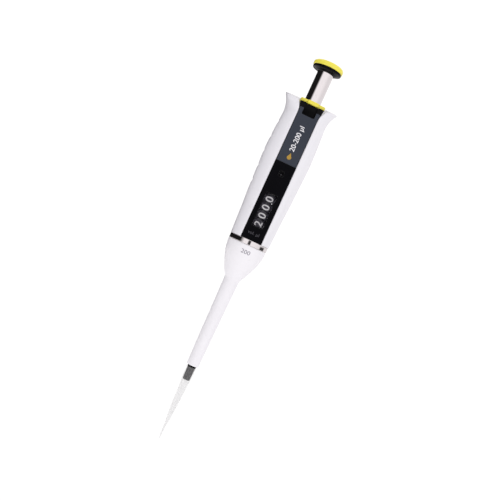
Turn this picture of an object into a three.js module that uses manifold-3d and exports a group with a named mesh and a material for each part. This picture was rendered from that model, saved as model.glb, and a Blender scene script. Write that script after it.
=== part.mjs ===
// A single-channel air-displacement pipette with a disposable tip, in millimetres, +Z up.
//
// Heights are written above the orifice of the tip. The whole group is lowered by STAND_HEIGHT, so
// that the frame's origin is on the plunger axis, in the neck under the flared rim, where a stand's
// fork holds the pipette. The display faces -Y, and +X is to its right.
import * as THREE from 'three';
import { mergeVertices } from 'three/addons/utils/BufferGeometryUtils.js';
import Module from 'manifold-3d';

const wasm = await Module();
wasm.setup();

// ---------------------------------------------------------------- driving dimensions
const STAND_HEIGHT = 227;
const GAP = 0.3;
const SMOOTH = 32;
const COARSE = 20;
const CENTRE = null;
// Cutting boxes reach this far past the pipette on every side.
const FAR = 30;
const SLOT_ROOM = 0.4;

const TIP_LENGTH = 51;
const CONE_BOTTOM = 42;
const CONE_TOP = 60;
const SLEEVE_BOTTOM = 52.2;
const SLEEVE_TOP = 138;
const RING_BOTTOM = 138.3;
const RING_TOP = 141.2;
const RING_RADIUS = 13.1;
const RING_BORE = 11.95;

const HANDLE_BOTTOM = 141.5;
const HANDLE_WALL = 1.6;
const RIM_HEIGHT = 239;
const RIM_SLOPE = 0.225;
const FLARE_START = 229;
const FRONT_POWER = 2.8;
const BACK_POWER = 2.3;

const STRIP_HALF = 7.15;
const STRIP_TOP = 235.6;
const STRIP_TOP_HALF = 8.15;
const STRIP_FLARE_START = 227;
const FASCIA_FRONT = 12.2;
const FASCIA_THICKNESS = 1.3;
const FASCIA_LEAN = 1.8;
const LABEL_BOTTOM = 195.3;
const LABEL_TOP = 233.7;
const LABEL_THICKNESS = 0.5;
const NOTCH_BOTTOM = 228.3;
const NOTCH_HALF = 4.2;
const WINDOW_BOTTOM = 150.9;
const WINDOW_TOP = 173.9;
const WINDOW_HALF = 3.75;
const LOCK_WINDOW_BOTTOM = 186.4;
const LOCK_WINDOW_TOP = 189.6;
const LOCK_WINDOW_HALF = 1.6;

const LOCK_SLOT_HALF = 1.9;
const LOCK_SLOT_BOTTOM = 218.6;
const LOCK_SLOT_TOP = 229.4;

const SHAFT_RADIUS = 5.45;
const BUTTON_TOP = 267;
const BUTTON_RADIUS = 10.2;
const PLUNGER_STROKE = 18.45;
const EJECT_STROKE = 7.4;

const PISTON_RADIUS = 2.05;
const SEAL_RADIUS = 2.85;
const PISTON_BOTTOM = 88.5;
const HEAD_BOTTOM = 147;
const HEAD_TOP = 149;
const SPRING_FLOOR = 121;

const DRUM_RADIUS = 10.2;
const SHELF_RADIUS = 9.2;
const DRUM_PITCH = 5.72;
const DRUM_FIRST = 153.75;
const DRUM_HALF = 2.6;
const SLEEVE_ROD = 3.9;
const PINION_OFFSET = 7.74;
const PINION_RADIUS = 1.6;

const CUP_FLOOR = 197;
const CUP_TOP = 221;
const CUP_RADIUS = 7.6;
const CUP_BORE = 5.9;
const NUT_BOTTOM = 192.4;
const NUT_TOP = 196.4;

const DECK_BOTTOM = 229.6;
const DECK_TOP = 231.4;
const THUMB_HALF = 8.1;
const THUMB_FRONT = -10.2;
const THUMB_BACK = 8;
const THUMB_BOTTOM = 229;
const THUMB_TOP = 235.7;
const PLATE_BOTTOM = 236;
const PLATE_TOP = 238.4;
const PLATE_HALF = 8.5;
const NOSE_FRONT = -13.2;
const BAR_FRONT = 10.4;
const BAR_BACK = 11.4;
const BAR_HALF = 2.5;
const BAR_BOTTOM = 136;

// Stations up the handle: height, half width, depth of the widest point, and back of the handle.
const HANDLE_STATIONS = [
  [141.5, 13.35, 0.0, 13.35],
  [151.8, 13.8, 0.5, 13.9],
  [162.2, 14.25, 1.0, 14.5],
  [172.6, 14.9, 1.5, 15.1],
  [183.0, 15.3, 2.0, 15.6],
  [193.4, 15.75, 2.5, 16.0],
  [201.2, 16.0, 2.8, 16.2],
  [211.6, 15.65, 3.0, 15.8],
  [222.0, 15.1, 3.2, 15.1],
  [227.2, 14.75, 3.4, 14.7],
  [229.8, 14.95, 3.6, 14.85],
  [232.4, 15.5, 3.8, 15.3],
  [235.0, 16.5, 4.1, 16.1],
  [237.2, 17.8, 4.3, 17.2],
  [239.0, 18.7, 4.5, 18.1],
];

// ---------------------------------------------------------------- geometry helpers
function tidied(geometry) {
  geometry.deleteAttribute('normal');
  geometry.deleteAttribute('uv');
  const merged = mergeVertices(geometry, 1e-4);
  const kept = [];
  const index = merged.index.array;
  for (let i = 0; i < index.length; i += 3) {
    const [a, b, c] = [index[i], index[i + 1], index[i + 2]];
    if (a !== b && b !== c && c !== a) {
      kept.push(a, b, c);
    }
  }
  if (signedVolume(merged.attributes.position, kept) < 0) {
    kept.reverse();
  }
  merged.setIndex(kept);
  return merged;
}

function signedVolume(position, index) {
  const [a, b, c] = [new THREE.Vector3(), new THREE.Vector3(), new THREE.Vector3()];
  let total = 0;
  for (let i = 0; i < index.length; i += 3) {
    a.fromBufferAttribute(position, index[i]);
    b.fromBufferAttribute(position, index[i + 1]);
    c.fromBufferAttribute(position, index[i + 2]);
    total += a.dot(b.cross(c));
  }
  return total;
}

function toSolid(geometry) {
  const bare = tidied(geometry);
  const vertProperties = new Float32Array(bare.attributes.position.array);
  const triVerts = new Uint32Array(bare.index.array);
  return new wasm.Manifold(new wasm.Mesh({ numProp: 3, vertProperties, triVerts }));
}

function toGeometry(solid) {
  const mesh = solid.getMesh();
  const geometry = new THREE.BufferGeometry();
  geometry.setAttribute('position', new THREE.BufferAttribute(mesh.vertProperties, 3));
  geometry.setIndex(new THREE.BufferAttribute(mesh.triVerts, 1));
  return geometry;
}

// A solid of revolution about the pipette's axis, from [radius, height] points.
function turned(profile, segments = COARSE) {
  const points = profile.map(([radius, height]) => new THREE.Vector2(radius, height));
  const onAxis = points[0].x === 0 && points[points.length - 1].x === 0;
  if (!onAxis) {
    points.push(points[0].clone());
  }
  return toSolid(new THREE.LatheGeometry(points, segments).rotateX(Math.PI / 2));
}

function ring(inner, outer, bottom, top, segments = COARSE) {
  return turned([[inner, bottom], [outer, bottom], [outer, top], [inner, top]], segments);
}

function rod(radius, bottom, top, segments = COARSE) {
  return turned([[0, bottom], [radius, bottom], [radius, top], [0, top]], segments);
}

function box(x0, x1, y0, y1, z0, z1) {
  const geometry = new THREE.BoxGeometry(x1 - x0, y1 - y0, z1 - z0);
  return toSolid(geometry.translate((x0 + x1) / 2, (y0 + y1) / 2, (z0 + z1) / 2));
}

function extruded(shape, depth, curveSegments = 5) {
  return new THREE.ExtrudeGeometry(shape, { depth, curveSegments, bevelEnabled: false });
}

// A flat outline in X and Y, standing from one height to another.
function upright(shape, bottom, top, curveSegments) {
  return toSolid(extruded(shape, top - bottom, curveSegments).translate(0, 0, bottom));
}

// An outline in X and height, running through the depth from one Y to another.
function through(shape, front, back) {
  return toSolid(extruded(shape, back - front).rotateX(Math.PI / 2).translate(0, back, 0));
}

// A side profile in Y and height, running across the width.
function across(shape, half) {
  const swap = new THREE.Matrix4().set(0, 0, 1, 0, 1, 0, 0, 0, 0, 1, 0, 0, 0, 0, 0, 1);
  return toSolid(extruded(shape, 2 * half).translate(0, 0, -half).applyMatrix4(swap));
}

function polygon(points) {
  return new THREE.Shape(points.map(([x, y]) => new THREE.Vector2(x, y)));
}

function roundedRectangle(x0, x1, y0, y1, radius) {
  const shape = new THREE.Shape();
  shape.moveTo(x0 + radius, y0);
  shape.lineTo(x1 - radius, y0);
  shape.quadraticCurveTo(x1, y0, x1, y0 + radius);
  shape.lineTo(x1, y1 - radius);
  shape.quadraticCurveTo(x1, y1, x1 - radius, y1);
  shape.lineTo(x0 + radius, y1);
  shape.quadraticCurveTo(x0, y1, x0, y1 - radius);
  shape.lineTo(x0, y0 + radius);
  shape.quadraticCurveTo(x0, y0, x0 + radius, y0);
  return shape;
}

class Helix extends THREE.Curve {
  constructor(radius, bottom, top, turns) {
    super();
    Object.assign(this, { radius, bottom, top, turns });
  }

  getPoint(t, target = new THREE.Vector3()) {
    const angle = 2 * Math.PI * this.turns * t;
    const height = this.bottom + (this.top - this.bottom) * t;
    return target.set(this.radius * Math.cos(angle), this.radius * Math.sin(angle), height);
  }
}

function coilSpring(radius, wire, bottom, top, turns) {
  const section = new THREE.Shape();
  section.absarc(0, 0, wire / 2, 0, 2 * Math.PI);
  const path = new Helix(radius, bottom + wire / 2, top - wire / 2, turns);
  const steps = Math.round(turns * 8);
  const options = { steps, curveSegments: 3, bevelEnabled: false, extrudePath: path };
  return toSolid(new THREE.ExtrudeGeometry(section, options));
}

const group = new THREE.Group();
group.position.z = -STAND_HEIGHT;

function add(name, solid, color, roughness, metalness = 0, extra = {}) {
  const material = new THREE.MeshStandardMaterial({ color, roughness, metalness, ...extra });
  const mesh = new THREE.Mesh(toGeometry(solid), material);
  mesh.name = name;
  group.add(mesh);
}

const WHITE = 0xf2f2f4;
const BLACK = 0x0d0d10;
const YELLOW = 0xe9de3c;
const SLATE = 0x323a48;
const GREY = 0x3a3c40;
const STEEL = 0xb8babd;
const CHROME = 0xd9d4d6;
const BRASS = 0xb79a5a;

// ---------------------------------------------------------------- handle outline
function stationAt(height) {
  const last = HANDLE_STATIONS.length - 1;
  let i = 0;
  while (i < last - 1 && HANDLE_STATIONS[i + 1][0] < height) {
    i += 1;
  }
  const [low, high] = [HANDLE_STATIONS[i], HANDLE_STATIONS[i + 1]];
  const t = THREE.MathUtils.clamp((height - low[0]) / (high[0] - low[0]), 0, 1);
  return low.map((value, k) => THREE.MathUtils.lerp(value, high[k], t));
}

// How far in front of the axis the strip's face is: flat, then leaning out under the rim.
function stripFace(height) {
  const t = Math.max(0, (height - STRIP_FLARE_START) / (STRIP_TOP - STRIP_FLARE_START));
  return FASCIA_FRONT + FASCIA_LEAN * t * t;
}

function handlePoint(height, angle, inset) {
  const [, halfWidth, middle, back] = stationAt(height);
  if (inset === CENTRE) {
    return new THREE.Vector3(0, middle, height);
  }
  const [c, s] = [Math.cos(angle), Math.sin(angle)];
  const power = s < 0 ? FRONT_POWER : BACK_POWER;
  const edge = (1 - ((STRIP_HALF + GAP) / halfWidth) ** FRONT_POWER) ** (1 / FRONT_POWER);
  const depth = s < 0 ? (stripFace(height) + middle) / edge : back - middle;
  const x = Math.sign(c) * (halfWidth - inset) * Math.abs(c) ** (2 / power);
  const y = middle + Math.sign(s) * (depth - inset) * Math.abs(s) ** (2 / power);
  const tilt = THREE.MathUtils.clamp((height - FLARE_START) / (RIM_HEIGHT - FLARE_START), 0, 1);
  return new THREE.Vector3(x, y, height + tilt * RIM_SLOPE * y);
}

// A loft up the handle through [height, inset] rows. A closed shell comes back down its inside,
// and a plug starts and ends at the centre.
function handleLoft(rows, segments) {
  const spine = rows.map((_, i) => new THREE.Vector2(1 + i, i));
  const geometry = new THREE.LatheGeometry(spine, segments);
  const position = geometry.attributes.position;
  for (let i = 0; i <= segments; i += 1) {
    const angle = (2 * Math.PI * (i % segments)) / segments;
    for (let j = 0; j < rows.length; j += 1) {
      const point = handlePoint(rows[j][0], angle, rows[j][1]);
      position.setXYZ(i * rows.length + j, point.x, point.y, point.z);
    }
  }
  return toSolid(geometry);
}

function handlePlug(inset, bottom, top, segments = SMOOTH) {
  return handleLoft([[bottom, CENTRE], [bottom, inset], [top, inset], [top, CENTRE]], segments);
}

// The strip's outline in X and height: parallel sides, then widening under the rim.
function stripOutline(bottom, top, grow) {
  const side = [];
  const steps = 5;
  for (let i = 0; i <= steps; i += 1) {
    const height = THREE.MathUtils.lerp(STRIP_FLARE_START, top, i / steps);
    const t = (height - STRIP_FLARE_START) / (STRIP_TOP - STRIP_FLARE_START);
    side.push([STRIP_HALF + grow + (STRIP_TOP_HALF - STRIP_HALF) * t * t, height]);
  }
  const right = [[STRIP_HALF + grow, bottom], ...side];
  const left = right.map(([x, height]) => [-x, height]).reverse();
  return polygon([...right, ...left]);
}

// A sheet that follows the strip's face, between two depths behind it.
function faceSheet(bottom, top, outer, inner) {
  const bends = [STRIP_FLARE_START, 229.5, 232, 234].filter((height) => height < top);
  const heights = [bottom, ...bends, top];
  const front = heights.map((height) => [-stripFace(height) + outer, height]);
  const back = heights.map((height) => [-stripFace(height) + inner, height]).reverse();
  return across(polygon([...front, ...back]), 2 * STRIP_HALF);
}

// ---------------------------------------------------------------- handle
const lipTop = RIM_HEIGHT;
const outerRows = HANDLE_STATIONS.slice(0, -1).map(([height]) => [height, 0]);
const lipRows = [[lipTop - 0.7, 0.02], [lipTop - 0.2, 0.25], [lipTop, 0.8]];
const innerRows = HANDLE_STATIONS.slice(3, -1).map(([height]) => [height, HANDLE_WALL]).reverse();
const shellRows = [
  ...outerRows,
  ...lipRows,
  [lipTop - 0.3, HANDLE_WALL - 0.2],
  ...innerRows,
  [HANDLE_BOTTOM, HANDLE_WALL],
  [HANDLE_BOTTOM, 0],
];
const aboveRim = RIM_HEIGHT + 6;
const channelBack = -6;
const channel = through(stripOutline(HANDLE_BOTTOM - 5, aboveRim, GAP), -FAR, channelBack);
const wellBack = THUMB_BACK + 1.9;
const wellHalf = PLATE_HALF + SLOT_ROOM;
const well = upright(
  roundedRectangle(-wellHalf, wellHalf, THUMB_FRONT - GAP, wellBack, 2),
  THUMB_BOTTOM - EJECT_STROKE - 1,
  aboveRim,
);
const lockSlot = box(
  -LOCK_SLOT_HALF, LOCK_SLOT_HALF, BAR_FRONT, FAR, LOCK_SLOT_BOTTOM, LOCK_SLOT_TOP,
);
const shell = handleLoft(shellRows, 40).subtract(channel).subtract(well).subtract(lockSlot);
add('handle_shell', shell, WHITE, 0.35);

const strip = through(stripOutline(HANDLE_BOTTOM + GAP, STRIP_TOP, 0), -FAR, 0);
const labelSeat = faceSheet(LABEL_BOTTOM - GAP, LABEL_TOP + GAP, -3, LABEL_THICKNESS + GAP);
// The notch that lets the finger plate's nose come down, wider by room on its three sides.
const notchCut = (room) => through(polygon([
  [-NOTCH_HALF - room, NOTCH_BOTTOM - room],
  [NOTCH_HALF + room, NOTCH_BOTTOM - room],
  [NOTCH_HALF + room, aboveRim],
  [-NOTCH_HALF - room, aboveRim],
]), -FAR, 0);
const fascia = faceSheet(HANDLE_BOTTOM + GAP, STRIP_TOP, 0, FASCIA_THICKNESS)
  .intersect(strip)
  .subtract(labelSeat)
  .subtract(notchCut(0))
  .subtract(box(-WINDOW_HALF, WINDOW_HALF, -FAR, 0, WINDOW_BOTTOM, WINDOW_TOP))
  .subtract(box(-LOCK_WINDOW_HALF, LOCK_WINDOW_HALF, -FAR, 0, LOCK_WINDOW_BOTTOM, LOCK_WINDOW_TOP));
add('fascia', fascia, BLACK, 0.12);

const pane = (half, bottom, top) => box(
  -half + GAP, half - GAP, -FASCIA_FRONT + 0.1, -FASCIA_FRONT + 1, bottom + GAP, top - GAP,
);
const clear = { transparent: true, opacity: 0.35 };
add('display_window', pane(WINDOW_HALF, WINDOW_BOTTOM, WINDOW_TOP), 0x9a9cab, 0.05, 0, clear);
const lockPane = pane(LOCK_WINDOW_HALF, LOCK_WINDOW_BOTTOM, LOCK_WINDOW_TOP);
add('lock_window', lockPane, 0x9a9cab, 0.05, 0, clear);

const label = faceSheet(LABEL_BOTTOM, LABEL_TOP, 0, LABEL_THICKNESS)
  .intersect(through(stripOutline(LABEL_BOTTOM, LABEL_TOP, -0.05), -FAR, 0))
  .subtract(notchCut(0.2));
add('label_plate', label, SLATE, 0.4);

const RING_CHAMFER = 0.3;
add('trim_ring', turned([
  [RING_BORE, RING_BOTTOM],
  [RING_RADIUS - RING_CHAMFER, RING_BOTTOM],
  [RING_RADIUS, RING_BOTTOM + RING_CHAMFER],
  [RING_RADIUS, RING_TOP - RING_CHAMFER],
  [RING_RADIUS - RING_CHAMFER, RING_TOP],
  [RING_BORE, RING_TOP],
], 36), CHROME, 0.08, 1);

const slotHalf = BAR_HALF + SLOT_ROOM;
const slotBack = BAR_BACK + SLOT_ROOM;
const barSlot = (bottom, top) => box(
  -slotHalf, slotHalf, BAR_FRONT - SLOT_ROOM, slotBack, bottom, top,
);
const thumbOpening = box(
  -PLATE_HALF - 0.5, PLATE_HALF + 0.5, -FAR, PLATE_HALF + 1, DECK_BOTTOM - FAR, DECK_TOP + FAR,
);
const armOpening = box(
  -slotHalf, slotHalf, THUMB_BACK, slotBack, DECK_BOTTOM - FAR, DECK_TOP + FAR,
);
const deck = handlePlug(HANDLE_WALL + GAP, DECK_BOTTOM, DECK_TOP)
  .subtract(thumbOpening)
  .subtract(armOpening);
add('top_deck', deck, GREY, 0.5);

const LEDGE_BOTTOM = 203;
const LEDGE_TOP = 205.7;
const RISER_SLOT_HALF = 2.4;
const [underLedge, overLedge] = [LEDGE_BOTTOM - 3, LEDGE_TOP + 4];
const behindFascia = -FASCIA_FRONT + FASCIA_THICKNESS + GAP;
const springSeat = handlePlug(HANDLE_WALL + GAP, LEDGE_BOTTOM, LEDGE_TOP)
  .subtract(rod(CUP_RADIUS + GAP, underLedge, overLedge))
  .subtract(box(-FAR, FAR, -FAR, behindFascia, underLedge, overLedge))
  .subtract(barSlot(underLedge, overLedge))
  .subtract(box(-RISER_SLOT_HALF, RISER_SLOT_HALF, BAR_BACK, FAR, underLedge, overLedge));
add('spring_seat', springSeat, GREY, 0.55);

// ---------------------------------------------------------------- counter frame
const BASE_BOTTOM = 142;
const BASE_TOP = 145;
const BEARING_BOTTOM = 176;
const BEARING_TOP = 178.5;
const besideDrums = (solid) => solid.translate([-PINION_OFFSET, -PINION_OFFSET, 0]);
const BASE_RADIUS = 11.4;
const BASE_BORE = 9.1;
const BEARING_RADIUS = 12.4;
const POST_INSIDE = 7.7;
const POST_FRONT = 7.5;
const POST_SIDE = 1;
const [underFrame, overFrame] = [BASE_BOTTOM - 12, BEARING_TOP + FAR];
const frameFront = box(-FAR, FAR, -FAR, behindFascia, underFrame, overFrame);
const basePlate = rod(BASE_RADIUS, BASE_BOTTOM, BASE_TOP, SMOOTH)
  .subtract(rod(BASE_BORE, BASE_BOTTOM - 1, BASE_TOP + 1))
  .subtract(barSlot(underFrame, overFrame));
const bearingPlate = rod(BEARING_RADIUS, BEARING_BOTTOM, BEARING_TOP, SMOOTH)
  .subtract(rod(SLEEVE_ROD + GAP, BEARING_BOTTOM - 1, BEARING_TOP + 1))
  .subtract(besideDrums(rod(PINION_RADIUS / 2, BEARING_BOTTOM - 1, BEARING_TOP + 1, 12)))
  .subtract(barSlot(underFrame, overFrame));
// A post joins the two plates on each side, behind the drums.
const post = (left) => box(
  left, left + POST_SIDE, POST_FRONT, POST_FRONT + POST_SIDE, BASE_TOP - 1, BEARING_BOTTOM + 1,
);
const counterFrame = basePlate
  .add(bearingPlate)
  .add(post(POST_INSIDE))
  .add(post(-POST_INSIDE - POST_SIDE))
  .subtract(frameFront);
add('counter_frame', counterFrame, GREY, 0.6);

const AXLE_RADIUS = 0.5;
const axle = rod(AXLE_RADIUS, BASE_TOP + GAP, BEARING_TOP - 0.5, 12);
add('pinion_axle', besideDrums(axle), STEEL, 0.3, 1);

// ---------------------------------------------------------------- lower body and cylinder
const BORE_SPRING = 5.9;
add('lower_housing', turned([
  [2.5, 112.3], [3.7, 112.3], [4.3, 115.4], [5.6, 118], [6.8, 120.6], [7.9, 123.2], [8.8, 125.8],
  [8.8, 145.3], [9.4, 145.3], [9.4, 146.6], [8.0, 146.6], [8.0, 149.4], [BORE_SPRING, 149.4],
  [BORE_SPRING, SPRING_FLOOR], [2.5, SPRING_FLOOR],
], 24), GREY, 0.5);

add('cylinder_tube', turned([
  [2.12, CONE_TOP + GAP], [2.85, CONE_TOP + GAP], [2.85, 98], [3.3, 101], [3.6, 104], [3.6, 112],
  [SEAL_RADIUS + 0.1, 112], [SEAL_RADIUS + 0.1, 106], [2.12, 106],
]), 0xc9ccd0, 0.3, 0.9);
add('piston_seal', ring(PISTON_RADIUS + 0.06, SEAL_RADIUS, 106.2, 109), 0x2a5d8f, 0.6);
add('seal_retainer', ring(PISTON_RADIUS + 0.15, SEAL_RADIUS, 109.3, 111.8), 0xd8dadb, 0.4);

add('tip_cone', turned([
  [1.6, CONE_BOTTOM], [2.3, CONE_BOTTOM], [2.4, CONE_BOTTOM + 0.4], [2.65, 51.2], [2.25, 51.25],
  [2.25, 52.75], [2.8, 52.8], [2.8, CONE_TOP], [1.8, CONE_TOP], [1.8, CONE_TOP + 3], [0.9, CONE_TOP + 3],
  [0.9, 47.5], [1.6, 47],
]), GREY, 0.35);
add('cone_ring', ring(2.4, 2.95, 51.4, 52.6, 24), BLACK, 0.5);
add('cone_filter', rod(1.45, CONE_BOTTOM + 0.4, 46.4, 12), 0xf4f4ef, 0.9);

add('return_spring', coilSpring(4.6, 0.8, SPRING_FLOOR + 0.2, HEAD_BOTTOM - 0.2, 7), STEEL, 0.25, 1);
add('blowout_spring', coilSpring(3.2, 0.7, SPRING_FLOOR + 0.2, 128.1, 4), STEEL, 0.25, 1);
add('ejector_spring', coilSpring(8.6, 0.8, LEDGE_TOP + 0.2, THUMB_BOTTOM - 0.2, 5), STEEL, 0.25, 1);

// ---------------------------------------------------------------- tip and ejector sleeve
const TIP_WALL = 0.45;
add('pipette_tip', turned([
  [0.2, 0], [0.42, 0], [0.75, 5.1], [1.0, 9.75], [1.55, 14.4], [1.95, 19.2], [2.5, 28.3],
  [2.87, 38.35], [3.2, 40.2], [3.3, 41], [3.6, TIP_LENGTH - 0.3], [3.5, TIP_LENGTH],
  [3.05, TIP_LENGTH], [2.95, TIP_LENGTH - 0.5], [2.7, 41.7], [2.87 - TIP_WALL, 38.35],
  [2.5 - TIP_WALL, 28.3], [1.95 - TIP_WALL, 19.2], [1.1, 14.4], [0.42, 5.1],
], 18), 0xe9edf0, 0.2, 0, { transparent: true, opacity: 0.5 });

add('ejector_sleeve', turned([
  [3.1, SLEEVE_BOTTOM], [3.88, SLEEVE_BOTTOM], [4.03, SLEEVE_BOTTOM + 0.2], [4.45, 73.8],
  [4.6, 86.8], [4.8, 99.8], [5.2, 114.3], [6.0, 115.6], [7.4, 118], [8.55, 120.6], [9.65, 123.2],
  [10.7, 125.8], [11.55, 128.4], [12.3, 131], [12.7, 133.6], [13.0, 136.2], [13.05, SLEEVE_TOP],
  [12.15, SLEEVE_TOP], [11.95, 136.2], [11.4, 133.6], [10.2, 128.4], [8.3, 123.2], [6.1, 118],
  [4.8, 115.4], [4.15, 113], [3.9, 99.8], [3.55, 73.8],
], 28), WHITE, 0.3);

const thumbShape = roundedRectangle(-THUMB_HALF, THUMB_HALF, THUMB_FRONT, THUMB_BACK, 1.6);
const plateShape = roundedRectangle(-PLATE_HALF, PLATE_HALF, THUMB_FRONT, THUMB_BACK + 1, 1.6);
const noseHalf = NOTCH_HALF - SLOT_ROOM;
const noseShape = roundedRectangle(-noseHalf, noseHalf, NOSE_FRONT, THUMB_FRONT + 2.2, 0.8);
const shaftHole = rod(SHAFT_RADIUS + 0.35, THUMB_BOTTOM - 9, PLATE_TOP + 7, 28);
const plate = upright(plateShape, PLATE_BOTTOM, PLATE_TOP)
  .add(upright(noseShape, PLATE_BOTTOM, PLATE_TOP))
  .subtract(shaftHole);
add('ejector_plate', plate, YELLOW, 0.3);
const barArm = box(-BAR_HALF, BAR_HALF, THUMB_BACK - 1, BAR_BACK, THUMB_BOTTOM + 2, THUMB_TOP);
const thumb = upright(thumbShape, THUMB_BOTTOM, THUMB_TOP).add(barArm).subtract(shaftHole);
add('ejector_thumb', thumb, BLACK, 0.25);
const barTop = THUMB_BOTTOM + 2 - GAP;
add('ejector_bar', box(-BAR_HALF, BAR_HALF, BAR_FRONT, BAR_BACK, BAR_BOTTOM, barTop), STEEL, 0.35, 1);

// ---------------------------------------------------------------- plunger
const UNDERSIDE = 260.2;
const DISC_BOTTOM = 262.8;
const CAP_BOTTOM = 264.2;
add('button_cap', turned([
  [0, CAP_BOTTOM], [BUTTON_RADIUS - 0.3, CAP_BOTTOM], [BUTTON_RADIUS, CAP_BOTTOM + 0.3],
  [BUTTON_RADIUS, BUTTON_TOP - 1], [BUTTON_RADIUS - 0.3, BUTTON_TOP - 0.3],
  [BUTTON_RADIUS - 1, BUTTON_TOP], [0, BUTTON_TOP],
], 32), YELLOW, 0.3);
add('button_base', turned([
  [0, UNDERSIDE + 1], [SHAFT_RADIUS + 0.3, UNDERSIDE + 1], [SHAFT_RADIUS + 0.3, UNDERSIDE],
  [6.4, UNDERSIDE + 0.3], [7.6, 261.5], [9.4, DISC_BOTTOM - 0.4], [9.8, DISC_BOTTOM],
  [9.8, CAP_BOTTOM - GAP], [0, CAP_BOTTOM - GAP],
], 32), BLACK, 0.15);
const SHAFT_FOOT = 219;
const KEY_HEIGHT = 219.5;
const shaft = turned([
  [4.4, SHAFT_FOOT - 1.6], [SHAFT_RADIUS - 0.4, SHAFT_FOOT - 1.6], [SHAFT_RADIUS, SHAFT_FOOT - 1.2],
  [SHAFT_RADIUS, UNDERSIDE + 0.7], [0, UNDERSIDE + 0.7], [0, UNDERSIDE - 3], [4.4, UNDERSIDE - 3],
], 28);
const KEY_RADIUS = 0.8;
const KEY_HALF = 6.9;
const keyRod = (radius, half) => rod(radius, -half, half, 12)
  .rotate([0, 90, 0])
  .translate([0, 0, KEY_HEIGHT]);
const keyHole = keyRod(KEY_RADIUS + 0.15, KEY_HALF + 1.1);
add('operating_shaft', shaft.subtract(keyHole), CHROME, 0.08, 1);
const pushRod = rod(2.2, HEAD_TOP + GAP, 225.7, 20).subtract(keyHole);
add('push_rod', pushRod, STEEL, 0.3, 1);
add('drive_key', keyRod(KEY_RADIUS, KEY_HALF), STEEL, 0.35, 1);

add('piston_head', ring(1.25, 5.6, HEAD_BOTTOM, HEAD_TOP - 0.5, 28), GREY, 0.5);
add('piston', turned([
  [0, PISTON_BOTTOM], [PISTON_RADIUS - 0.3, PISTON_BOTTOM], [PISTON_RADIUS, PISTON_BOTTOM + 0.3],
  [PISTON_RADIUS, HEAD_BOTTOM - GAP], [0.95, HEAD_BOTTOM - GAP], [0.95, HEAD_TOP], [0, HEAD_TOP],
]), 0xd2d4d8, 0.15, 1);

// ---------------------------------------------------------------- volume setting
const slotBottom = KEY_HEIGHT - PLUNGER_STROKE - 1.2;
const keySlot = box(-CUP_RADIUS - 1, CUP_RADIUS + 1, -1.1, 1.1, slotBottom, CUP_TOP + 1);
const ROD_BORE = 2.6;
const ROD_BOTTOM = 150.2;
const cupInside = CUP_FLOOR + 1.8;
const driveSleeve = turned([
  [ROD_BORE, ROD_BOTTOM], [SLEEVE_ROD, ROD_BOTTOM], [SLEEVE_ROD, CUP_FLOOR], [CUP_RADIUS, CUP_FLOOR],
  [CUP_RADIUS, CUP_TOP], [CUP_BORE, CUP_TOP], [CUP_BORE, cupInside], [ROD_BORE, cupInside],
], 28).subtract(keySlot);
add('drive_sleeve', driveSleeve, BRASS, 0.35, 1);

add('travel_nut', ring(SLEEVE_ROD + 0.25, 8.5, NUT_BOTTOM, NUT_TOP, 28), BRASS, 0.35, 1);

function drum(centre) {
  const [bottom, top, shelf] = [centre - DRUM_HALF, centre + DRUM_HALF, centre + DRUM_HALF - 1.2];
  return turned([
    [4.2, bottom], [5.6, bottom], [5.6, bottom + 1.4], [8.2, bottom + 1.4], [8.2, bottom],
    [DRUM_RADIUS, bottom], [DRUM_RADIUS, shelf], [SHELF_RADIUS, shelf], [SHELF_RADIUS, top], [4.2, top],
  ], 20);
}

const drumNames = ['hundreds', 'tens', 'units', 'tenths'];
drumNames.forEach((name, i) => {
  add(`digit_wheel_${name}`, drum(DRUM_FIRST + i * DRUM_PITCH), 0x24222c, 0.45);
});

// A small carry pinion beside the shelf between two drums.
function pinion(centre) {
  const shape = new THREE.Shape();
  const teeth = 8;
  for (let i = 0; i < teeth; i += 1) {
    const angle = (2 * Math.PI * i) / teeth;
    const corners = [[1.05, -0.3], [PINION_RADIUS, -0.16], [PINION_RADIUS, 0.16], [1.05, 0.3]];
    corners.forEach(([radius, swing], k) => {
      const [x, y] = [radius * Math.cos(angle + swing), radius * Math.sin(angle + swing)];
      if (i === 0 && k === 0) {
        shape.moveTo(x, y);
      } else {
        shape.lineTo(x, y);
      }
    });
  }
  const bore = rod(AXLE_RADIUS + 0.1, 100, 200, 12);
  return besideDrums(upright(shape, centre - 0.4, centre + 0.4).subtract(bore));
}

const pinionNames = ['hundreds', 'tens', 'units'];
pinionNames.forEach((name, i) => {
  const centre = DRUM_FIRST + i * DRUM_PITCH + DRUM_HALF - 0.6;
  add(`carry_pinion_${name}`, pinion(centre), 0xe6e4dc, 0.5);
});

// ---------------------------------------------------------------- volume lock
const LINK_BOTTOM = 198;
const LINK_TOP = 199.2;
const LINK_CENTRE = 1.5;
const RISER_HALF = 1.5;
const RISER_BACK = 13.1;
const FLAG_HALF = 1.4;
const FLAG_BACK = -9.2;
const FLAG_TOP = 191.2;
const SLIDER_HALF = 3.2;
const linkRing = ring(10.55, 11.6, LINK_BOTTOM, LINK_TOP, 40).translate([0, LINK_CENTRE, 0]);
const leftHalf = box(-FAR, -LOCK_SLOT_HALF, -FAR, FAR, LINK_BOTTOM - 1, LINK_TOP + 1);
const flagStem = box(-FLAG_HALF, FLAG_HALF, FLAG_BACK - 0.8, FLAG_BACK, FLAG_TOP + GAP, LINK_TOP);
const riser = box(-RISER_HALF, RISER_HALF, RISER_BACK - 1, RISER_BACK, LINK_BOTTOM, 227.5);
const link = linkRing.subtract(leftHalf).add(flagStem).add(riser);
add('lock_link', link, STEEL, 0.35, 1);
const flag = box(-FLAG_HALF, FLAG_HALF, FLAG_BACK - 1, FLAG_BACK, FLAG_TOP - 6.6, FLAG_TOP);
add('lock_flag', flag, BLACK, 0.4);
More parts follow.
